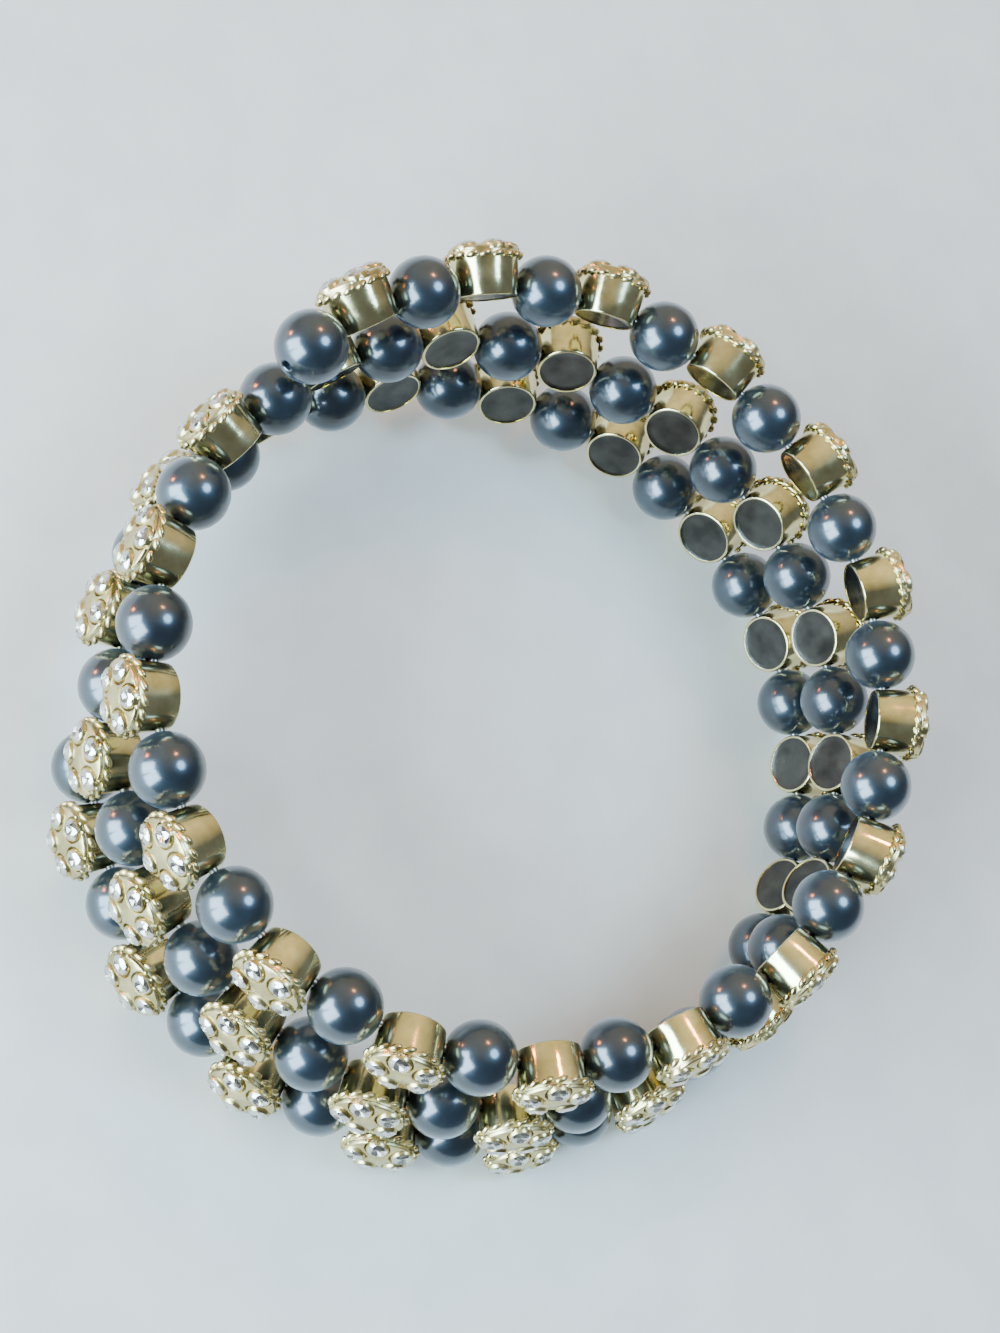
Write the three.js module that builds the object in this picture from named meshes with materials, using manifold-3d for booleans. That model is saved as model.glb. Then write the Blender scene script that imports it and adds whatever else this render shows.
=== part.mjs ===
// A coil bracelet: pearls and round crystal cups strung in turn on a springy wire coil of nearly three turns.
// It lies on its side on a table, with the coil's axis upright.
// Millimetres, +Z up. The origin is on the table, under the middle of the bracelet's outline.
import * as THREE from "three";
import { mergeVertices } from "three/addons/utils/BufferGeometryUtils.js";
import Module from "manifold-3d";

const wasm = await Module();
wasm.setup();

// Pearls
const PEARL_DIAMETER = 6.2;
const PEARL_END_DIAMETER = 1.4; // the small flat round the drilled hole
const PEARL_SIDES = 10;

// Cups: a flat back, a body that widens a little, a rim and a low domed face
const CUP_BACK_DIAMETER = 5.4;
const CUP_NECK_DIAMETER = 6; // at the end of the body, under the rim
const CUP_BODY_LENGTH = 3.4;
const RIM_DIAMETER = 7;
const RIM_THICKNESS = 1;
const FACE_HEIGHT = 0.8;
const FACE_TOP_DIAMETER = 4.4;
const CUP_HOLE_DEPTH = 1.1; // from the back to the wire's middle
const CUP_SIDES = 12; // a multiple of 4, so that one side faces the table
const CUP_TILT = 14; // degrees that the faces look up
const FAR_TILT = -22; // in the lower rows on the far side, where the backs look up
const FAR_ANGLE = 90; // the middle of the far side, round +Z from +X
const FAR_START = -0.15; // cosines of the angles from there at which the tilt starts and ends to turn
const FAR_END = 0.45;
const LIFT_LEAD = 0.04; // the same measure, by which the wire rises before the cups turn

// Wire and stringing
const WIRE_DIAMETER = 0.8;
const WIRE_SIDES = 6;
const BEAD_GAP = 0.1; // between neighbours on the wire
const STRING_GAP = 0.3; // between the upper and the lower string, where they meet

// Coil, from its top end down
const COIL_TURNS = 2.87;
const TOP_RADIUS = 32;
const RADIUS_GROWTH = 0.48; // for each turn down
const ROW_GAP = 0.4; // between the rims of one row and the next
const LEVEL_SHARE = 0.62; // of each turn, before it climbs to the next row
const TOP_END_ANGLE = 188.7; // degrees round +Z from +X
const LEAN = 6.3; // sideways, from the top row's middle to the bottom end's
const LEAN_ANGLE = -59.6;

const rowPitch = RIM_DIAMETER + ROW_GAP;
const radians = THREE.MathUtils.degToRad;
const cupWidthAtWire =
  CUP_BACK_DIAMETER + ((CUP_NECK_DIAMETER - CUP_BACK_DIAMETER) * CUP_HOLE_DEPTH) / CUP_BODY_LENGTH;
const beadStep = (PEARL_DIAMETER + cupWidthAtWire) / 2 + BEAD_GAP;

const navyPearl = new THREE.MeshStandardMaterial({ color: 0x2c4158, metalness: 0.2, roughness: 0.3 });
const silver = new THREE.MeshStandardMaterial({ color: 0xc9c3b4, metalness: 1, roughness: 0.22 });
const springWire = new THREE.MeshStandardMaterial({ color: 0x9a9a98, metalness: 1, roughness: 0.35 });

const neckDepth = CUP_BODY_LENGTH - CUP_HOLE_DEPTH; // from the wire's middle to the rim
const rimTaper = RIM_THICKNESS * Math.tan(radians(-FAR_TILT)); // levels the far rims' lowest sides

const angleAt = (turn) => radians(TOP_END_ANGLE - 360 * turn);

// The tilt of the lower rows' cups. The top row's cups keep CUP_TILT all the way round.
function lowTilt(turn, lead = 0) {
  const towardsFar = Math.cos(angleAt(turn) - radians(FAR_ANGLE)) + lead;
  const share = THREE.MathUtils.smoothstep(towardsFar, FAR_START, FAR_END);
  return radians(THREE.MathUtils.lerp(CUP_TILT, FAR_TILT, share));
}

// How far below the wire a cup's rim reaches.
function rimReach(tilt) {
  const underside = (RIM_DIAMETER / 2) * Math.cos(tilt) - neckDepth * Math.sin(tilt);
  const edge =
    (RIM_DIAMETER / 2 - rimTaper) * Math.cos(tilt) - (neckDepth + RIM_THICKNESS) * Math.sin(tilt);
  return Math.max(underside, edge);
}

// The wire's centreline. Each turn lies level, then climbs to the row above.
// The bottom row rests on its pearls, and on its rims on the far side, where the wire lies higher.
class CoilCurve extends THREE.Curve {
  getPoint(share, target = new THREE.Vector3()) {
    const turn = share * COIL_TURNS;
    const angle = angleAt(turn);
    const radius = TOP_RADIUS + RADIUS_GROWTH * turn;
    const shift = LEAN * Math.sin((Math.PI / 2) * share);
    const turnsUp = COIL_TURNS - turn;
    const row = Math.floor(turnsUp);
    const rows = row + THREE.MathUtils.smoothstep(turnsUp - row, LEVEL_SHARE, 1);
    const lift = Math.max(0, rimReach(lowTilt(turn, LIFT_LEAD)) - PEARL_DIAMETER / 2);
    return target.set(
      radius * Math.cos(angle) + shift * Math.cos(radians(LEAN_ANGLE)),
      radius * Math.sin(angle) + shift * Math.sin(radians(LEAN_ANGLE)),
      rowPitch * rows + lift,
    );
  }
}

// A closed geometry as a solid that can be joined to others.
function solidFrom(geometry) {
  const plain = geometry.clone();
  plain.deleteAttribute("normal");
  plain.deleteAttribute("uv");
  const merged = mergeVertices(plain, 1e-4);
  return new wasm.Manifold(
    new wasm.Mesh({
      numProp: 3,
      vertProperties: merged.attributes.position.array,
      triVerts: new Uint32Array(merged.index.array),
    }),
  ).asOriginal();
}

// A joined solid as one mesh, in which each stretch of faces keeps the material of the piece it came from.
function meshFrom(solid, materialOfPiece) {
  const { vertProperties, triVerts, runIndex, runOriginalID } = solid.getMesh();
  const geometry = new THREE.BufferGeometry();
  geometry.setAttribute("position", new THREE.BufferAttribute(vertProperties, 3));
  geometry.setIndex(new THREE.BufferAttribute(triVerts, 1));
  const materials = [navyPearl, silver, springWire];
  runOriginalID.forEach((id, i) => {
    const material = materials.indexOf(materialOfPiece.get(id));
    geometry.addGroup(runIndex[i], runIndex[i + 1] - runIndex[i], material);
  });
  return new THREE.Mesh(geometry, materials);
}

// A pearl about the origin, drilled along Y.
function pearlGeometry() {
  const radius = PEARL_DIAMETER / 2;
  const endAngle = Math.asin(PEARL_END_DIAMETER / PEARL_DIAMETER);
  const profile = [new THREE.Vector2(0, -radius * Math.cos(endAngle))];
  const bands = 4;
  for (let i = 0; i <= bands; i++) {
    const angle = THREE.MathUtils.lerp(endAngle, Math.PI - endAngle, i / bands);
    profile.push(new THREE.Vector2(radius * Math.sin(angle), -radius * Math.cos(angle)));
  }
  profile.push(new THREE.Vector2(0, radius * Math.cos(endAngle)));
  return new THREE.LatheGeometry(profile, PEARL_SIDES);
}

// A cup whose face looks along +Y and whose wire passes through the origin.
// Its radii are measured to the flats, and the flats face along X and Z.
function cupGeometry() {
  const toCorner = 1 / Math.cos(Math.PI / CUP_SIDES);
  const profile = [
    [0, -CUP_HOLE_DEPTH],
    [CUP_BACK_DIAMETER / 2, -CUP_HOLE_DEPTH],
    [CUP_NECK_DIAMETER / 2, neckDepth],
    [RIM_DIAMETER / 2, neckDepth],
    [RIM_DIAMETER / 2 - rimTaper, neckDepth + RIM_THICKNESS],
    [FACE_TOP_DIAMETER / 2, neckDepth + RIM_THICKNESS + FACE_HEIGHT],
    [0, neckDepth + RIM_THICKNESS + FACE_HEIGHT],
  ].map(([radius, y]) => new THREE.Vector2(radius * toCorner, y));
  return new THREE.LatheGeometry(profile, CUP_SIDES, Math.PI / CUP_SIDES);
}

const coil = new CoilCurve();
coil.arcLengthDivisions = 4000;
const wireLength = coil.getLength();
const pearlCount = Math.floor((wireLength - STRING_GAP) / (2 * beadStep)) + 1;
const beadCount = 2 * pearlCount - 1; // pearls and cups in turn, with a pearl at each end
const upperBeads = 2 * Math.round(pearlCount / 2);

// Where a bead sits: X along the wire, Y outwards, and up by the tilt for a cup.
function beadPlace(index) {
  const along = index * beadStep + (index < upperBeads ? 0 : STRING_GAP);
  const share = coil.getUtoTmapping(along / wireLength);
  const turn = share * COIL_TURNS;
  const point = coil.getPoint(share);
  const onward = coil.getTangent(share);
  const outward = new THREE.Vector3(0, 0, 1).cross(onward).normalize();
  const upward = onward.clone().cross(outward);
  const cupTilt = turn < 1 ? radians(CUP_TILT) : lowTilt(turn);
  const tilt = index % 2 === 0 ? 0 : cupTilt;
  const face = outward.multiplyScalar(Math.cos(tilt)).addScaledVector(upward, Math.sin(tilt));
  const side = onward.clone().cross(face);
  return new THREE.Matrix4().makeBasis(onward, face, side).setPosition(point);
}

// The wire from the first of these beads to the last, with a step at each bead.
function wireGeometry(places) {
  const section = new THREE.Shape();
  for (let i = 0; i < WIRE_SIDES; i++) {
    const angle = (2 * Math.PI * i) / WIRE_SIDES;
    const x = (WIRE_DIAMETER / 2) * Math.cos(angle);
    const y = (WIRE_DIAMETER / 2) * Math.sin(angle);
    if (i === 0) section.moveTo(x, y);
    else section.lineTo(x, y);
  }
  section.closePath();
  const points = places.map((place) => new THREE.Vector3().setFromMatrixPosition(place));
  return new THREE.ExtrudeGeometry(section, {
    steps: points.length - 1,
    bevelEnabled: false,
    extrudePath: new THREE.CatmullRomCurve3(points),
  });
}

const pearl = solidFrom(pearlGeometry().rotateZ(-Math.PI / 2));
const cup = solidFrom(cupGeometry());

// Beads first to last - 1, fused with the wire that holds them.
function beadString(name, first, last) {
  const places = [];
  for (let i = first; i < last; i++) places.push(beadPlace(i));
  const wire = solidFrom(wireGeometry(places));
  let solid = wire;
  places.forEach((place, i) => {
    const bead = (first + i) % 2 === 0 ? pearl : cup;
    solid = solid.add(bead.transform(place.elements));
  });
  const materialOfPiece = new Map([
    [pearl.originalID(), navyPearl],
    [cup.originalID(), silver],
    [wire.originalID(), springWire],
  ]);
  const mesh = meshFrom(solid, materialOfPiece);
  mesh.name = name;
  return mesh;
}

const bracelet = new THREE.Group();
bracelet.add(beadString("upper_bead_string", 0, upperBeads));
bracelet.add(beadString("lower_bead_string", upperBeads, beadCount));

const outline = new THREE.Box3().setFromObject(bracelet);
const middle = outline.getCenter(new THREE.Vector3());
bracelet.position.set(-middle.x, -middle.y, -outline.min.z);

export default bracelet;
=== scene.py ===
import bisect
import math
import random

import bmesh
import bpy
from mathutils import Matrix, Vector


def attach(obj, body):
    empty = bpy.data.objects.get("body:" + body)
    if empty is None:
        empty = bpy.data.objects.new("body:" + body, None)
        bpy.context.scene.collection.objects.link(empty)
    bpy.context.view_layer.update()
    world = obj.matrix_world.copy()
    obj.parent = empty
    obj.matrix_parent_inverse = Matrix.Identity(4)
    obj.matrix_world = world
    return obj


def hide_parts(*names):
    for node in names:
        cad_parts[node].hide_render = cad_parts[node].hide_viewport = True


# Coil bracelet: navy glass pearls and cast silver cups set with crystals, strung on spring wire.
# It lies on its side on a pale table. Lengths in the dictionaries are millimetres, angles are degrees.
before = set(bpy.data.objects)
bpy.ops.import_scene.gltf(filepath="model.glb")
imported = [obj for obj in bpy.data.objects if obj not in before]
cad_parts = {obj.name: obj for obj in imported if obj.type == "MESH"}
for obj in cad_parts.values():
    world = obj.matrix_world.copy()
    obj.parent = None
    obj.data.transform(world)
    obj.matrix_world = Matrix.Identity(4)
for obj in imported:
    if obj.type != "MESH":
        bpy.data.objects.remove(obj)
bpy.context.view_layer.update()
mm = 0.001
cadStrings = sorted(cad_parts)

# Coil and stringing: the part's own path, so every bead lies where its solid does
stringing = {
    "pearlDiameter": 6.2,
    "cupBackDiameter": 5.4,
    "cupNeckDiameter": 6,
    "cupBodyLength": 3.4,
    "cupHoleDepth": 1.1,  # from the back to the wire's middle
    "rimDiameter": 7,
    "rimThickness": 1,
    "cupTilt": 14,  # the faces look up by this
    "farTilt": -22,  # in the lower rows on the far side, where the backs look up
    "farAngle": 90,
    "farStart": -0.15,  # cosines of the angles from there at which the tilt starts and ends to turn
    "farEnd": 0.45,
    "liftLead": 0.04,
    "beadGap": 0.1,
    "stringGap": 0.3,  # where the upper string meets the lower one
    "rowGap": 0.4,
    "coilTurns": 2.87,
    "topRadius": 32,
    "radiusGrowth": 0.48,
    "levelShare": 0.62,  # of each turn, before it climbs to the row above
    "topEndAngle": 188.7,
    "lean": 6.3,
    "leanAngle": -59.6,
    "origin": Vector((-2.1102, 3.7186, 3.1)),  # from the coil's own axis to the middle of the outline
}
neckDepth = stringing["cupBodyLength"] - stringing["cupHoleDepth"]  # from the wire's middle to the rim
rimTaper = stringing["rimThickness"] * math.tan(math.radians(-stringing["farTilt"]))


def smoothstep(value, start, end):
    share = min(1, max(0, (value - start) / (end - start)))
    return share * share * (3 - 2 * share)


def angleAt(turn):
    return math.radians(stringing["topEndAngle"] - 360 * turn)


# The tilt of the lower rows' cups
def lowTilt(turn, lead=0):
    towardsFar = math.cos(angleAt(turn) - math.radians(stringing["farAngle"])) + lead
    share = smoothstep(towardsFar, stringing["farStart"], stringing["farEnd"])
    return math.radians(stringing["cupTilt"] + (stringing["farTilt"] - stringing["cupTilt"]) * share)


# How far below the wire a cup's rim reaches
def rimReach(tilt):
    radius = stringing["rimDiameter"] / 2
    edgeDepth = neckDepth + stringing["rimThickness"]
    underside = radius * math.cos(tilt) - neckDepth * math.sin(tilt)
    edge = (radius - rimTaper) * math.cos(tilt) - edgeDepth * math.sin(tilt)
    return max(underside, edge)


def coilPoint(share):
    turn = share * stringing["coilTurns"]
    angle = angleAt(turn)
    leanAngle = math.radians(stringing["leanAngle"])
    radius = stringing["topRadius"] + stringing["radiusGrowth"] * turn
    shift = stringing["lean"] * math.sin(math.pi / 2 * share)
    turnsUp = stringing["coilTurns"] - turn
    row = math.floor(turnsUp)
    rows = row + smoothstep(turnsUp - row, stringing["levelShare"], 1)
    rowPitch = stringing["rimDiameter"] + stringing["rowGap"]
    lift = max(0, rimReach(lowTilt(turn, stringing["liftLead"])) - stringing["pearlDiameter"] / 2)
    x = radius * math.cos(angle) + shift * math.cos(leanAngle)
    y = radius * math.sin(angle) + shift * math.sin(leanAngle)
    return (Vector((x, y, rowPitch * rows + lift)) + stringing["origin"]) * mm


# Where each bead sits: X along the wire, Y outwards, and up by the tilt for a cup
def beadPlaces():
    steps = 4000  # of the path that measure the wire's length
    nudge = 1e-4  # share of the path over which its direction is taken
    points = [coilPoint(i / steps) for i in range(steps + 1)]
    lengths = [0.0]
    for before, after in zip(points, points[1:]):
        lengths.append(lengths[-1] + (after - before).length)
    backWidth = stringing["cupBackDiameter"]
    widening = stringing["cupNeckDiameter"] - backWidth
    cupWidth = backWidth + widening * stringing["cupHoleDepth"] / stringing["cupBodyLength"]
    beadStep = ((stringing["pearlDiameter"] + cupWidth) / 2 + stringing["beadGap"]) * mm
    pearlCount = int((lengths[-1] - stringing["stringGap"] * mm) / (2 * beadStep)) + 1
    upperBeads = 2 * round(pearlCount / 2)
    places = []
    for index in range(2 * pearlCount - 1):
        along = index * beadStep
        if index >= upperBeads:
            along += stringing["stringGap"] * mm
        i = min(bisect.bisect_right(lengths, along), steps) - 1
        share = (i + (along - lengths[i]) / (lengths[i + 1] - lengths[i])) / steps
        turn = share * stringing["coilTurns"]
        onward = (coilPoint(min(share + nudge, 1)) - coilPoint(max(share - nudge, 0))).normalized()
        outward = Vector((0, 0, 1)).cross(onward).normalized()
        tilt = 0
        if index % 2:
            tilt = math.radians(stringing["cupTilt"]) if turn < 1 else lowTilt(turn)
        face = outward * math.cos(tilt) + onward.cross(outward) * math.sin(tilt)
        place = Matrix((onward, face, onward.cross(face))).transposed().to_4x4()
        place.translation = coilPoint(share)
        places.append(place)
    return places


allPlaces = beadPlaces()
pearlPlaces = allPlaces[0::2]
cupPlaces = allPlaces[1::2]
print("stage: places of", len(pearlPlaces), "pearls and", len(cupPlaces), "cups")


# An sRGB hex colour as linear values
def linear(hexColour):
    channels = [int(hexColour[i : i + 2], 16) / 255 for i in (1, 3, 5)]
    return tuple(c / 12.92 if c <= 0.04045 else ((c + 0.055) / 1.055) ** 2.4 for c in channels) + (1.0,)


# Adds a node. Settings are its properties or sockets, stops are a ramp's places and colours
def addNode(tree, kind, settings=None, links=None, stops=None):
    node = tree.nodes.new(kind)
    for name, value in (settings or {}).items():
        if isinstance(name, str) and hasattr(node, name):
            setattr(node, name, value)
        else:
            node.inputs[name].default_value = value
    for name, source in (links or {}).items():
        tree.links.new(source, node.inputs[name])
    if stops:
        while len(node.color_ramp.elements) < len(stops):
            node.color_ramp.elements.new(0.5)
        for element, (position, colour) in zip(node.color_ramp.elements, stops):
            element.position = position
            element.color = linear(colour)
    return node


def newMaterial(name):
    material = bpy.data.materials.new(name)
    material.use_nodes = True
    material.node_tree.nodes.clear()
    return material, material.node_tree


def toSurface(tree, shader):
    addNode(tree, "ShaderNodeOutputMaterial", links={"Surface": shader.outputs["BSDF"]})


# Glass bead dipped in pearl lacquer: navy ground, fine flakes that glow blue, clear gloss over it
def pearlLacquer():
    material, tree = newMaterial("pearlLacquerOnGlass")
    mottleWidth = 1.6  # soft clouds in the lacquer
    mottleShare = 0.55  # of the colour, beside the bead's own tint
    peelWidth = 0.25  # faint orange peel
    peelDepth = 0.01
    coordinates = addNode(tree, "ShaderNodeTexCoord").outputs["Object"]
    tint = addNode(tree, "ShaderNodeAttribute", {"attribute_name": "beadTint"}).outputs["Fac"]
    mottle = addNode(tree, "ShaderNodeTexNoise", {"Scale": 1 / (mottleWidth * mm), "Detail": 3.0},
                     {"Vector": coordinates}).outputs["Fac"]
    blend = addNode(tree, "ShaderNodeMath", {"operation": "MULTIPLY_ADD", 1: mottleShare},
                    {0: mottle, 2: tint}).outputs[0]
    ground = addNode(tree, "ShaderNodeValToRGB", links={"Fac": blend},
                     stops=[(0.1, "#182027"), (0.45, "#27343d"), (0.9, "#40535f")]).outputs["Color"]
    gloss = addNode(tree, "ShaderNodeMapRange", {"To Min": 0.3, "To Max": 0.4},
                    {"Value": mottle}).outputs[0]
    peel = addNode(tree, "ShaderNodeTexNoise", {"Scale": 1 / (peelWidth * mm), "Detail": 1.0},
                   {"Vector": coordinates}).outputs["Fac"]
    bump = addNode(tree, "ShaderNodeBump", {"Strength": 0.12, "Distance": peelDepth * mm},
                   {"Height": peel})
    shader = addNode(tree, "ShaderNodeBsdfPrincipled",
                     {"Metallic": 0.7, "Coat Weight": 1.0, "Coat Roughness": 0.17, "Coat IOR": 1.7,
                      "Sheen Weight": 0.15, "Sheen Roughness": 0.4, "Sheen Tint": linear("#a8cbe8")},
                     {"Base Color": ground, "Roughness": gloss, "Normal": bump.outputs["Normal"]})
    toSurface(tree, shader)
    return material


# Cast alloy plated with silver and tumbled: a soft mirror, a little yellow, with faint handling haze.
# The waves are the cast surface's slight unevenness under the plate
def silverPlate(name, darkColour, lightColour, smoothest, roughest, waves):
    material, tree = newMaterial(name)
    hazeWidth = 2.2
    waveWidth = 1.1
    waveDepth = 0.1
    coordinates = addNode(tree, "ShaderNodeTexCoord").outputs["Object"]
    haze = addNode(tree, "ShaderNodeTexNoise", {"Scale": 1 / (hazeWidth * mm), "Detail": 4.0},
                   {"Vector": coordinates}).outputs["Fac"]
    colour = addNode(tree, "ShaderNodeValToRGB", links={"Fac": haze},
                     stops=[(0.3, darkColour), (0.65, lightColour)]).outputs["Color"]
    gloss = addNode(tree, "ShaderNodeMapRange",
                    {"From Min": 0.3, "From Max": 0.7, "To Min": smoothest, "To Max": roughest},
                    {"Value": haze}).outputs[0]
    wave = addNode(tree, "ShaderNodeTexNoise", {"Scale": 1 / (waveWidth * mm), "Detail": 2.0},
                   {"Vector": coordinates}).outputs["Fac"]
    bump = addNode(tree, "ShaderNodeBump", {"Strength": waves, "Distance": waveDepth * mm},
                   {"Height": wave})
    shader = addNode(tree, "ShaderNodeBsdfPrincipled", {"Metallic": 1.0},
                     {"Base Color": colour, "Roughness": gloss, "Normal": bump.outputs["Normal"]})
    toSurface(tree, shader)
    return material


# Lead crystal, machine cut and polished: sharp bright facets.
# Foiled sides throw light back as a mirror does
def cutCrystal(name, mirror):
    material, tree = newMaterial(name)
    greaseWidth = 1.5  # faint touch marks
    coordinates = addNode(tree, "ShaderNodeTexCoord").outputs["Object"]
    grease = addNode(tree, "ShaderNodeTexNoise", {"Scale": 1 / (greaseWidth * mm)},
                     {"Vector": coordinates}).outputs["Fac"]
    gloss = addNode(tree, "ShaderNodeMapRange",
                    {"From Min": 0.35, "From Max": 0.75, "To Min": 0.0, "To Max": 0.05},
                    {"Value": grease}).outputs[0]
    shader = addNode(tree, "ShaderNodeBsdfPrincipled",
                     {"Base Color": linear("#fbfaf4"), "IOR": 1.55, "Transmission Weight": 1.0,
                      "Metallic": mirror}, {"Roughness": gloss})
    toSurface(tree, shader)
    return material


# Drawn stainless spring wire: grey, with fine mottling from the die
def drawnWire():
    material, tree = newMaterial("drawnSpringWire")
    grainWidth = 0.3
    coordinates = addNode(tree, "ShaderNodeTexCoord").outputs["Object"]
    grain = addNode(tree, "ShaderNodeTexNoise", {"Scale": 1 / (grainWidth * mm), "Detail": 2.0},
                    {"Vector": coordinates}).outputs["Fac"]
    colour = addNode(tree, "ShaderNodeValToRGB", links={"Fac": grain},
                     stops=[(0.3, "#6f6f6e"), (0.7, "#9d9c99")]).outputs["Color"]
    shader = addNode(tree, "ShaderNodeBsdfPrincipled", {"Metallic": 1.0, "Roughness": 0.32},
                     {"Base Color": colour})
    toSurface(tree, shader)
    return material


# Matt laminate of the table: pale, with a soft fleck
def paleLaminate():
    material, tree = newMaterial("paleLaminate")
    speckWidth = 6
    coordinates = addNode(tree, "ShaderNodeTexCoord").outputs["Object"]
    speck = addNode(tree, "ShaderNodeTexNoise", {"Scale": 1 / (speckWidth * mm), "Detail": 5.0},
                    {"Vector": coordinates}).outputs["Fac"]
    colour = addNode(tree, "ShaderNodeValToRGB", links={"Fac": speck},
                     stops=[(0.3, "#d1cdc4"), (0.7, "#d9d5cb")]).outputs["Color"]
    shader = addNode(tree, "ShaderNodeBsdfPrincipled", {"Roughness": 0.7}, {"Base Color": colour})
    toSurface(tree, shader)
    return material


# Spins a profile of (radius, height) points round Z and closes its poles
def spunShape(profile, steps):
    mergeDistance = 0.002
    shape = bmesh.new()
    ring = [shape.verts.new((radius * mm, 0, height * mm)) for radius, height in profile]
    edges = [shape.edges.new(pair) for pair in zip(ring, ring[1:])]
    bmesh.ops.spin(shape, geom=ring + edges, axis=(0, 0, 1), cent=(0, 0, 0), angle=math.tau,
                   steps=steps, use_merge=True)
    bmesh.ops.remove_doubles(shape, verts=shape.verts, dist=mergeDistance * mm)
    bmesh.ops.recalc_face_normals(shape, faces=shape.faces)
    return shape


# Points of an arc about (centreRadius, centreHeight), with angles from the downward axis
def arcPoints(radius, first, last, count, centreRadius=0, centreHeight=0):
    points = []
    for i in range(count + 1):
        angle = math.radians(first + (last - first) * i / count)
        points.append((centreRadius + radius * math.sin(angle), centreHeight - radius * math.cos(angle)))
    return points


# Adds a copy of a shape at each place to a mesh in the making
def addCopies(target, shape, places):
    single = bpy.data.meshes.new("single")
    shape.to_mesh(single)
    for place in places:
        copy = single.copy()
        copy.transform(place)
        target.from_mesh(copy)
        bpy.data.meshes.remove(copy)
    bpy.data.meshes.remove(single)


# Makes an object of a shape. A smooth one keeps its edges sharp past the sharp angle
def finishPiece(name, shape, materials, smooth=True):
    sharpAngle = 38
    for face in shape.faces:
        face.smooth = smooth
    mesh = bpy.data.meshes.new(name)
    shape.to_mesh(mesh)
    shape.free()
    for material in materials:
        mesh.materials.append(material)
    if smooth:
        mesh.set_sharp_from_angle(angle=math.radians(sharpAngle))
    piece = bpy.data.objects.new(name, mesh)
    bpy.context.scene.collection.objects.link(piece)
    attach(piece, "root")
    return piece


# Pearls: round, with the drilled hole's small dimple at each end
pearlSettings = {
    "holeDiameter": 0.9,
    "holeEdge": 10.5,  # degrees from the drilled axis to where the ball starts
    "holeRim": 0.96,  # height of the hole's edge, as a share of the pearl's radius
    "holeDepth": 0.5,
    "sides": 28,
    "bands": 18,
    "tintSpread": 0.16,  # from bead to bead
    "seed": 11,
}


def makePearls():
    radius = stringing["pearlDiameter"] / 2
    holeRadius = pearlSettings["holeDiameter"] / 2
    floor = radius - pearlSettings["holeDepth"]
    edge = pearlSettings["holeEdge"]
    ball = arcPoints(radius, edge, 180 - edge, pearlSettings["bands"])
    lowEnd = [(0, -floor), (holeRadius, -floor), (holeRadius, -radius * pearlSettings["holeRim"])]
    highEnd = [(r, -height) for r, height in reversed(lowEnd)]
    one = spunShape(lowEnd + ball + highEnd, pearlSettings["sides"])
    alongWire = Matrix.Rotation(math.pi / 2, 3, "Y")
    bmesh.ops.rotate(one, verts=one.verts, cent=(0, 0, 0), matrix=alongWire)
    count = len(one.verts)
    joined = bmesh.new()
    addCopies(joined, one, pearlPlaces)
    one.free()
    pearls = finishPiece("navyPearls", joined, [pearlLacquer()])
    chance = random.Random(pearlSettings["seed"])
    tints = []
    for _ in pearlPlaces:
        tints += [chance.uniform(0, pearlSettings["tintSpread"])] * count
    pearls.data.attributes.new("beadTint", "FLOAT", "POINT").data.foreach_set("value", tints)
    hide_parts(*cadStrings)
    print("stage: pearls")


# Cup bodies: a drum that widens to the neck, with a rolled edge round its flat mirror back
cupSettings = {
    "edgeRound": 0.16,  # radius of the rolled edge
    "edgeTurn": 82,  # degrees that it turns, from the back to the wall
    "edgePoints": 4,
    "backLip": 0.1,  # ring between the rolled edge and the mirror
    "lipInset": 0.08,  # of the lip's flat top from the rolled edge
    "backSink": 0.07,  # of the mirror below the lip
    "stepWidth": 0.09,  # up from the mirror to the lip
    "stepEnd": 0.02,
    "mirrorRings": 4,
    "wallRings": (0.35, 0.7, 1),  # shares of the wall's height
    "coverInset": 0.25,  # of the closed end, which the cast face covers
    "coverHeight": 0.15,
    "sides": 40,
}
faceTurn = Matrix.Rotation(-math.pi / 2, 4, "X")  # a spun shape's Z becomes the cup's face direction


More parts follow.
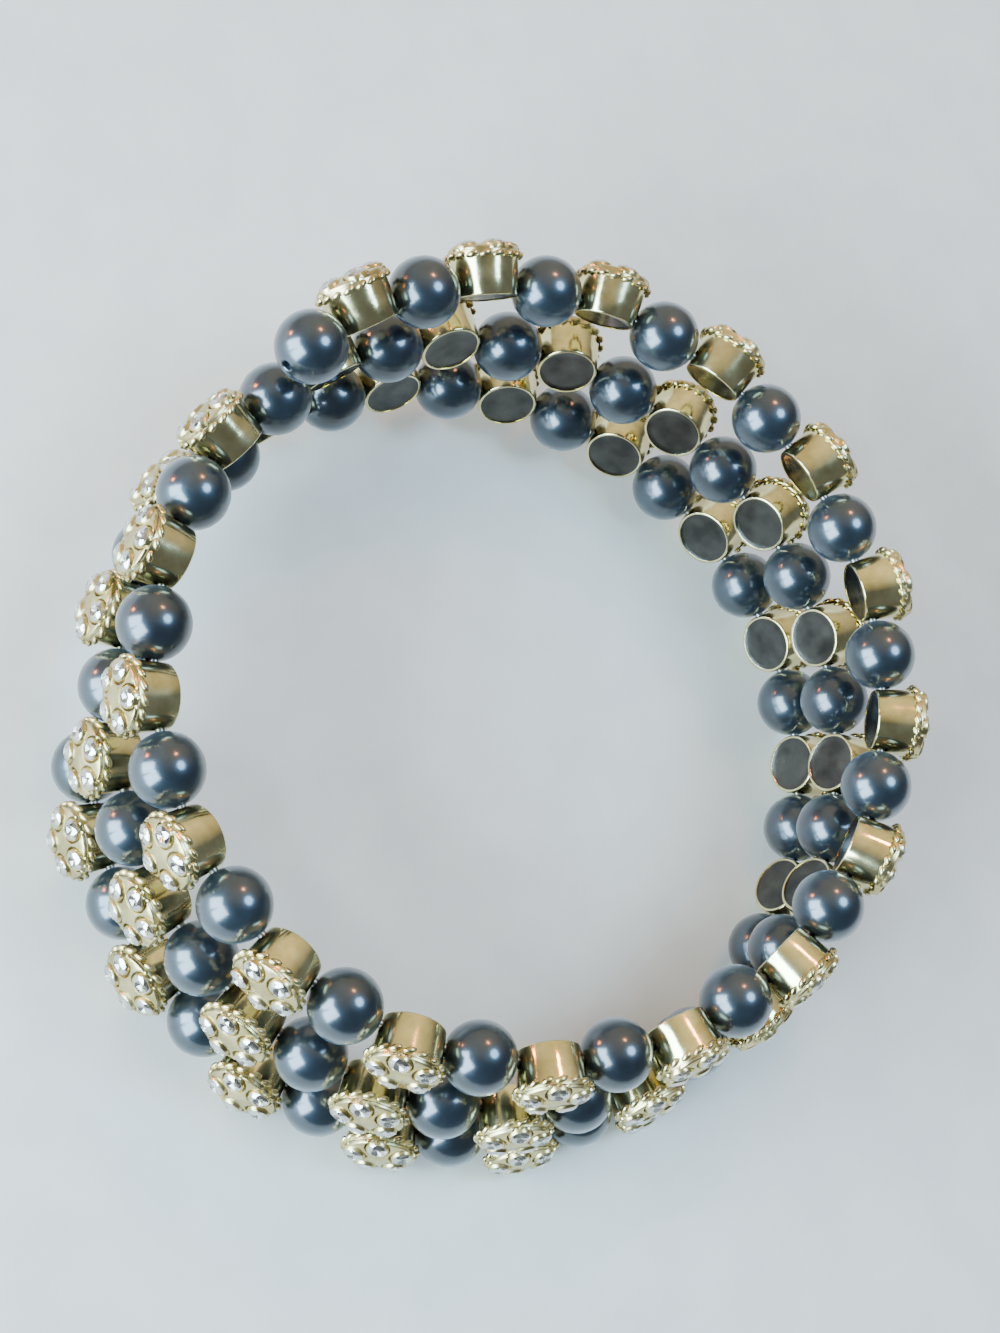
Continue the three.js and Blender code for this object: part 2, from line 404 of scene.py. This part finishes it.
def makeCups():
    back = -stringing["cupHoleDepth"]
    neck = back + stringing["cupBodyLength"]
    backRadius = stringing["cupBackDiameter"] / 2
    neckRadius = stringing["cupNeckDiameter"] / 2
    edge = cupSettings["edgeRound"]
    mirror = backRadius - edge - cupSettings["backLip"]
    sink = back + cupSettings["backSink"]
    rings = cupSettings["mirrorRings"]
    profile = [(mirror * i / rings, sink) for i in range(rings)] + [(mirror, sink)]
    profile += [(mirror + cupSettings["stepWidth"], back + cupSettings["stepEnd"]),
                (backRadius - edge - cupSettings["lipInset"], back)]
    profile += arcPoints(edge, 0, cupSettings["edgeTurn"], cupSettings["edgePoints"],
                         backRadius - edge, back + edge)
    for share in cupSettings["wallRings"]:
        height = back + 2 * edge + (neck - back - 2 * edge) * share
        radius = backRadius + (neckRadius - backRadius) * (height - back) / (neck - back)
        profile.append((radius, height))
    cover = neck + cupSettings["coverHeight"]
    profile += [(neckRadius - cupSettings["coverInset"], cover), (0, cover)]
    one = spunShape(profile, cupSettings["sides"])
    margin = 0.01
    # Faces of the sunk back take the second material, whose dark grey is a painted reflection
    for part in one.faces:
        centre = part.calc_center_median()
        if centre.z < (sink + margin) * mm and centre.xy.length < mirror * mm:
            part.material_index = 1
    joined = bmesh.new()
    addCopies(joined, one, [place @ faceTurn for place in cupPlaces])
    one.free()
    # The drum is bright and warm. The sunk back is smooth and grey, its colour darkened as a painted dark
    # reflection
    drumPlate = silverPlate("tumbledSilverPlate", "#d0c188", "#f3e9b0", 0.1, 0.2, 0.12)
    paintedDarkReflectionBack = silverPlate("flatSilverBackPaintedDark", "#3c3b38", "#575550", 0.16, 0.28, 0.1)
    cups = finishPiece("silverCups", joined, [drumPlate, paintedDarkReflectionBack])
    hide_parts(*cadStrings)
    print("stage: cup bodies")


# Cast faces: a low dome with five collars, a smooth star-shaped plate between them and a roped edge
faceSettings = {
    "edgeDiameter": 6.3,
    "edgeHeight": 0.42,  # above the neck
    # The dome's side, from its foot up: inwards from the edge, and down from its height
    "edgeProfile": ((-0.4, -0.6), (-0.05, -0.5), (0, -0.2), (-0.03, 0)),
    "shoulder": 0.2,  # of the dome, inside the edge
    "domeRings": (2.3, 1.5, 0.7, 0),  # radii
    "domeRise": 0.6,
    "domeSides": 32,
    "collars": 5,
    "collarCircle": 4.2,  # diameter through the crystals' middles
    "collarDiameter": 1.96,
    "collarHeight": 0.4,
    "collarFoot": (0.04, 0.12),  # spread of the foot, and its depth in the dome
    "collarTaper": 0.02,
    "collarBevel": (0.08, 0.06),  # width and height
    "collarLip": 0.03,  # over the crystal's edge
    "collarPlay": 0.01,  # round the crystal
    "collarSides": 12,
    "petalDiameter": 6.1,
    "petalHole": 2.25,  # the opening round each collar
    "petalRise": 0.26,
    "petalSink": 0.1,  # of the plate's underside in the dome
    "petalRound": 0.08,
    "holePoints": 12,
    "edgePoints": 3,
    "strands": 17,
    "strandCircle": 6.38,
    "strandHeight": 0.04,  # of the strands' middles above the neck
    "strandSize": (0.52, 1.12, 0.56),  # outwards, along and across a strand
    "strandSlant": 22,
    "strandSides": (8, 5),  # around and from end to end
    "prongs": 3,  # beads on the outer side of each collar
    "prongDiameter": 0.44,
    "prongGap": 0.05,  # from the collar to the prongs' middles
    "prongSpread": 46,
    "prongLimit": 3.0,  # furthest radius of a prong's middle
    "prongSides": (7, 4),
    "seed": 5,
}
crystalSettings = {
    "diameter": 1.78,
    "tableDiameter": 0.98,
    "facets": 8,
    "girdleHeight": 0.37,  # above the dome
    "girdleThickness": 0.04,
    "crownHeight": 0.24,
    "crownWaist": 0.56,  # share of the crown's height at which its facets meet
    "crownBulge": 0.03,
    "pavilionDepth": 0.33,
    "pavilionWaist": (0.5, 0.55),  # shares of the radius and depth at which its facets meet
    "foilPlay": 0.03,
    "foilTip": 0.02,
    "shadedPointShare": 0.26,  # of the foil, darkened at its point as painted shade
}


def domeHeight(radius):
    share = radius / (faceSettings["edgeDiameter"] / 2)
    return neckDepth + faceSettings["edgeHeight"] + faceSettings["domeRise"] * (1 - share * share)


# A place on the dome at that radius and angle, with Z square to it
def domePlace(radius, angle):
    slope = math.atan(2 * faceSettings["domeRise"] * radius / (faceSettings["edgeDiameter"] / 2) ** 2)
    outward = Matrix.Translation((radius * mm, 0, domeHeight(radius) * mm)) @ Matrix.Rotation(slope, 4, "Y")
    return Matrix.Rotation(angle, 4, "Z") @ outward


def collarAngles():
    return [math.tau * i / faceSettings["collars"] for i in range(faceSettings["collars"])]


# Where each cast face goes, with its pattern turned by chance
def faceTurns():
    chance = random.Random(faceSettings["seed"])
    repeat = math.tau / faceSettings["collars"]
    return [place @ faceTurn @ Matrix.Rotation(chance.uniform(0, repeat), 4, "Z") for place in cupPlaces]


def collarShape():
    outside = faceSettings["collarDiameter"] / 2
    inside = crystalSettings["diameter"] / 2
    height = faceSettings["collarHeight"]
    footSpread, footDepth = faceSettings["collarFoot"]
    bevelWidth, bevelHeight = faceSettings["collarBevel"]
    profile = [(outside + footSpread, -footDepth),
               (outside - faceSettings["collarTaper"], height - bevelHeight),
               (outside - bevelWidth, height),
               (inside - faceSettings["collarLip"], height),
               (inside + faceSettings["collarPlay"], 0)]
    return spunShape(profile + profile[:1], faceSettings["collarSides"])


# The smooth plate between the collars: a circle drawn in round each collar, raised and rounded
def petalShape():
    circle = faceSettings["collarCircle"] / 2
    hole = faceSettings["petalHole"] / 2
    edge = faceSettings["petalDiameter"] / 2
    gap = math.acos((circle ** 2 + edge ** 2 - hole ** 2) / (2 * circle * edge))
    start = math.atan2(edge * math.sin(gap), edge * math.cos(gap) - circle)
    holePoints, edgePoints = faceSettings["holePoints"], faceSettings["edgePoints"]
    outline = []
    for middle in collarAngles():
        turned = Matrix.Rotation(middle, 2)
        for i in range(holePoints + 1):
            angle = -start - (math.tau - 2 * start) * i / holePoints
            point = Vector((circle + hole * math.cos(angle), hole * math.sin(angle)))
            outline.append(turned @ point)
        for i in range(1, edgePoints + 1):
            angle = gap + (math.tau / faceSettings["collars"] - 2 * gap) * i / (edgePoints + 1)
            outline.append(turned @ Vector((edge * math.cos(angle), edge * math.sin(angle))))
    plate = bmesh.new()
    bmesh.ops.create_circle(plate, cap_ends=True, segments=len(outline), radius=1)
    plate.verts.ensure_lookup_table()
    for corner, point in zip(plate.verts, outline):
        corner.co = (point * mm).to_3d()
    bmesh.ops.triangulate(plate, faces=plate.faces[:])
    sink = faceSettings["petalSink"]
    for corner in plate.verts:
        corner.co.z = (domeHeight(corner.co.length / mm) - sink) * mm
    lifted = bmesh.ops.extrude_face_region(plate, geom=plate.faces[:])["geom"]
    top = {part for part in lifted if isinstance(part, bmesh.types.BMVert)}
    rise = faceSettings["petalRise"] + sink
    bmesh.ops.translate(plate, verts=list(top), vec=(0, 0, rise * mm))
    bmesh.ops.recalc_face_normals(plate, faces=plate.faces)
    rim = [e for e in plate.edges if all(v in top for v in e.verts)
           and any(not all(v in top for v in f.verts) for f in e.link_faces)]
    bmesh.ops.bevel(plate, geom=rim, affect="EDGES", offset=faceSettings["petalRound"] * mm, segments=2,
                    profile=0.5, material=-1)
    return plate


def grainShape(size, sides):
    grain = bmesh.new()
    bmesh.ops.create_uvsphere(grain, u_segments=sides[0], v_segments=sides[1], radius=0.5 * mm)
    bmesh.ops.scale(grain, verts=grain.verts, vec=size)
    return grain


def domeShape():
    rim = faceSettings["edgeDiameter"] / 2
    edge = neckDepth + faceSettings["edgeHeight"]
    side = [(rim + inwards, edge + down) for inwards, down in faceSettings["edgeProfile"]]
    radii = (rim - faceSettings["shoulder"],) + faceSettings["domeRings"]
    crown = [(radius, domeHeight(radius)) for radius in radii]
    dome = spunShape([(0, side[0][1])] + side + crown, faceSettings["domeSides"])
    # The dome's top faces, seen only in the grooves between the relief, take the second material: painted
    # shade
    for part in dome.faces:
        part.material_index = 1 if part.normal.z > 0.5 else 0
    return dome


def strandPlaces():
    count = faceSettings["strands"]
    slant = Matrix.Rotation(math.radians(faceSettings["strandSlant"]), 4, "X")
    height = neckDepth + faceSettings["strandHeight"]
    outward = Matrix.Translation((faceSettings["strandCircle"] / 2 * mm, 0, height * mm))
    turns = [Matrix.Rotation(math.tau * i / count, 4, "Z") for i in range(count)]
    return [turn @ outward @ slant for turn in turns]


def prongPlaces():
    reach = faceSettings["collarDiameter"] / 2 + faceSettings["prongGap"]
    places = []
    for middle in collarAngles():
        for i in range(faceSettings["prongs"]):
            angle = math.radians(faceSettings["prongSpread"] * (i - (faceSettings["prongs"] - 1) / 2))
            x = faceSettings["collarCircle"] / 2 + reach * math.cos(angle)
            y = reach * math.sin(angle)
            shrunk = min(1, faceSettings["prongLimit"] / math.hypot(x, y))
            places.append(domePlace(math.hypot(x, y) * shrunk, middle + math.atan2(y, x)))
    return places


def onDome():
    return [domePlace(faceSettings["collarCircle"] / 2, angle) for angle in collarAngles()]


def makeFaces():
    one = domeShape()
    addCopies(one, collarShape(), onDome())
    addCopies(one, petalShape(), [Matrix.Identity(4)])
    addCopies(one, grainShape(faceSettings["strandSize"], faceSettings["strandSides"]), strandPlaces())
    prong = grainShape((faceSettings["prongDiameter"],) * 3, faceSettings["prongSides"])
    addCopies(one, prong, prongPlaces())
    print("stage: one face has", len(one.faces), "faces")
    joined = bmesh.new()
    addCopies(joined, one, faceTurns())
    one.free()
    # The relief is rubbed bright. The ground between its forms is darkened with painted shade, seen in the
    # grooves round the collars
    castSilver = silverPlate("castSilverFace", "#b3a26c", "#ddcd96", 0.2, 0.34, 0.25)
    paintedGrooveShade = silverPlate("paintedShadeInGrooves", "#4d4636", "#6b624c", 0.3, 0.45, 0.25)
    faces = finishPiece("castCupFaces", joined, [castSilver, paintedGrooveShade])
    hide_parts(*cadStrings)
    print("stage: cast faces")


# Crystals: round brilliants with a table, crown facets and a foiled pavilion
def crystalShape():
    girdle = crystalSettings["diameter"] / 2
    table = crystalSettings["tableDiameter"] / 2
    facets = crystalSettings["facets"]
    crown, pavilion = crystalSettings["crownHeight"], crystalSettings["pavilionDepth"]
    innerShare, innerDepth = crystalSettings["pavilionWaist"]
    half = math.pi / facets
    # Segments, radius, height from the girdle and turn
    rings = [(2 * facets, girdle, 0, 0), (2 * facets, girdle, -crystalSettings["girdleThickness"], 0),
             (facets, table, crown, 0),
             (facets, (girdle + table) / 2 + crystalSettings["crownBulge"],
              crown * crystalSettings["crownWaist"], half),
             (facets, girdle * innerShare, -pavilion * innerDepth, half)]
    gem = bmesh.new()
    for segments, radius, height, turn in rings:
        lift = Matrix.Translation((0, 0, (crystalSettings["girdleHeight"] + height) * mm))
        bmesh.ops.create_circle(gem, cap_ends=False, segments=segments, radius=radius * mm,
                                matrix=lift @ Matrix.Rotation(turn, 4, "Z"))
    gem.verts.new((0, 0, (crystalSettings["girdleHeight"] - pavilion) * mm))
    bmesh.ops.convex_hull(gem, input=gem.verts, use_existing_faces=False)
    bmesh.ops.dissolve_limit(gem, angle_limit=math.radians(1.5), verts=gem.verts, edges=gem.edges)
    bmesh.ops.recalc_face_normals(gem, faces=gem.faces)
    for facet in gem.faces:
        facet.material_index = 1 if facet.normal.z > 0.99 else 0
    return gem


# The foil behind a crystal: a cone, open towards it, in two rings
def foilShape():
    depth = crystalSettings["pavilionDepth"]
    play = crystalSettings["foilPlay"]
    foil = bmesh.new()
    bmesh.ops.create_cone(foil, cap_ends=False, segments=crystalSettings["facets"],
                          radius1=crystalSettings["foilTip"] * mm,
                          radius2=(crystalSettings["diameter"] / 2 + play) * mm, depth=depth * mm)
    middle = crystalSettings["girdleHeight"] - depth / 2 - play
    bmesh.ops.translate(foil, verts=foil.verts, vec=(0, 0, middle * mm))
    bmesh.ops.reverse_faces(foil, faces=foil.faces)
    slanted = [e for e in foil.edges if len({round(v.co.z, 7) for v in e.verts}) > 1]
    bmesh.ops.subdivide_edges(foil, edges=slanted, cuts=1)
    # Faces near the foil's point take the second material, darkened as painted shade
    shadedPointReach = crystalSettings["shadedPointShare"] * crystalSettings["diameter"] * mm
    for face in foil.faces:
        face.material_index = 1 if face.calc_center_median().xy.length < shadedPointReach else 0
    return foil


def makeCrystals():
    places = [turn @ place for turn in faceTurns() for place in onDome()]
    crystals = bmesh.new()
    addCopies(crystals, crystalShape(), places)
    foiledSide = cutCrystal("cutCrystalFoiledSide", 0.6)
    table = cutCrystal("cutCrystalTable", 0.0)
    finishPiece("faceCrystals", crystals, [foiledSide, table], smooth=False)
    foils = bmesh.new()
    addCopies(foils, foilShape(), places)
    # The silvered backs of the stones: a clear mirror, with the point painted darker as painted shade
    foilBacking = silverPlate("foilBacking", "#dcd4c6", "#f6ecdf", 0.12, 0.2, 0.0)
    paintedShadeFoilPoint = silverPlate("paintedShadeFoilPoint", "#756250", "#9a846e", 0.1, 0.2, 0.0)
    finishPiece("crystalFoils", foils, [foilBacking, paintedShadeFoilPoint], smooth=False)
    print("stage: crystals")


# Spring wire through all the beads, its ends glued inside the end pearls
wireSettings = {"diameter": 0.8, "roundness": 3}


def makeWire():
    curve = bpy.data.curves.new("springWireCoil", "CURVE")
    curve.dimensions = "3D"
    curve.bevel_depth = wireSettings["diameter"] / 2 * mm
    curve.bevel_resolution = wireSettings["roundness"]
    curve.use_fill_caps = True
    spline = curve.splines.new("POLY")
    spline.points.add(len(allPlaces) - 1)
    for point, place in zip(spline.points, allPlaces):
        point.co = place.translation.to_4d()
    curve.materials.append(drawnWire())
    wire = bpy.data.objects.new("springWireCoil", curve)
    bpy.context.scene.collection.objects.link(wire)
    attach(wire, "root")
    print("stage: wire")


makePearls()
makeCups()
makeFaces()
makeCrystals()
makeWire()

# Studio: pale table, two tall soft windows in front, small lamps, and a warm wall on the left
stageSettings = {
    "floorSize": 12000,
    "roomStrength": 1.1,
    "roomColour": "#666c73",
    "wallColour": "#fff0c8",
    "wallDirection": (-0.62, 0.42, 0.66),
    "wallFade": (0.35, 0.95),  # cosines of the angles from the wall at which it starts and is full
}
# Direction from the bracelet's middle, distance, width and height, watts and colour
lampSettings = {
    "frontWindowLeft": ((-0.52, -0.78, 0.35), 480, 215, 330, 6.0, "#c8e8ff"),
    "frontWindowRight": ((-0.06, -0.93, 0.37), 480, 230, 370, 7.2, "#c4e6ff"),
    "coolLamp": ((0.18, 0.37, 0.91), 520, 220, 220, 2.7, "#a8d6ff"),
    "warmLampLeft": ((-0.88, -0.46, 0.16), 480, 60, 60, 0.7, "#ff9a62"),
    "warmLampRight": ((-0.39, 0.46, 0.8), 480, 56, 56, 0.5, "#ffab78"),
}


def makeFloor():
    ground = bmesh.new()
    bmesh.ops.create_grid(ground, x_segments=4, y_segments=4, size=stageSettings["floorSize"] / 2 * mm)
    mesh = bpy.data.meshes.new("paleFloor")
    ground.to_mesh(mesh)
    ground.free()
    mesh.materials.append(paleLaminate())
    floor = bpy.data.objects.new("paleFloor", mesh)
    bpy.context.scene.collection.objects.link(floor)


def makeWorld():
    world = bpy.data.worlds.new("studio")
    world.use_nodes = True
    tree = world.node_tree
    direction = addNode(tree, "ShaderNodeTexCoord").outputs["Generated"]
    wall = Vector(stageSettings["wallDirection"]).normalized()
    wallStart, wallFull = stageSettings["wallFade"]
    towardsWall = addNode(tree, "ShaderNodeVectorMath", {"operation": "DOT_PRODUCT", 1: wall},
                          {0: direction}).outputs["Value"]
    colour = addNode(tree, "ShaderNodeValToRGB", links={"Fac": towardsWall},
                     stops=[(wallStart, stageSettings["roomColour"]),
                            (wallFull, stageSettings["wallColour"])])
    background = tree.nodes["Background"]
    background.inputs["Strength"].default_value = stageSettings["roomStrength"]
    tree.links.new(colour.outputs["Color"], background.inputs["Color"])
    bpy.context.scene.world = world


# A lamp at a distance along a direction from the bracelet's middle, facing it. Windows have corners
def addLamp(name, direction, distance, width, height, power, colour):
    lamp = bpy.data.lights.new(name, "AREA")
    lamp.shape = "RECTANGLE" if "Window" in name else "ELLIPSE"
    lamp.size = width * mm
    lamp.size_y = height * mm
    lamp.energy = power
    lamp.color = linear(colour)[:3]
    holder = bpy.data.objects.new(name, lamp)
    aim = Vector(direction).normalized()
    holder.location = aim * distance * mm
    holder.rotation_euler = (-aim).to_track_quat("-Z", "Y").to_euler()
    bpy.context.scene.collection.objects.link(holder)


cameraSettings = {
    "place": (-3.4, -82.7, 201.8),
    "aim": (0, 0.4085, -0.9127),
    "roll": 56.6,  # turn of the view about its own axis
    "focalLength": 64.8,
}


def makeCamera():
    lens = bpy.data.cameras.new("camera")
    lens.lens = cameraSettings["focalLength"]
    lens.clip_start = 5 * mm
    camera = bpy.data.objects.new("camera", lens)
    turned = Vector(cameraSettings["aim"]).to_track_quat("-Z", "Y").to_matrix().to_4x4()
    camera.matrix_world = (Matrix.Translation(Vector(cameraSettings["place"]) * mm) @ turned
                           @ Matrix.Rotation(math.radians(cameraSettings["roll"]), 4, "Z"))
    bpy.context.scene.collection.objects.link(camera)
    bpy.context.scene.camera = camera


makeFloor()
makeWorld()
for lampName, values in lampSettings.items():
    addLamp(lampName, *values)
makeCamera()
print("stage: studio")
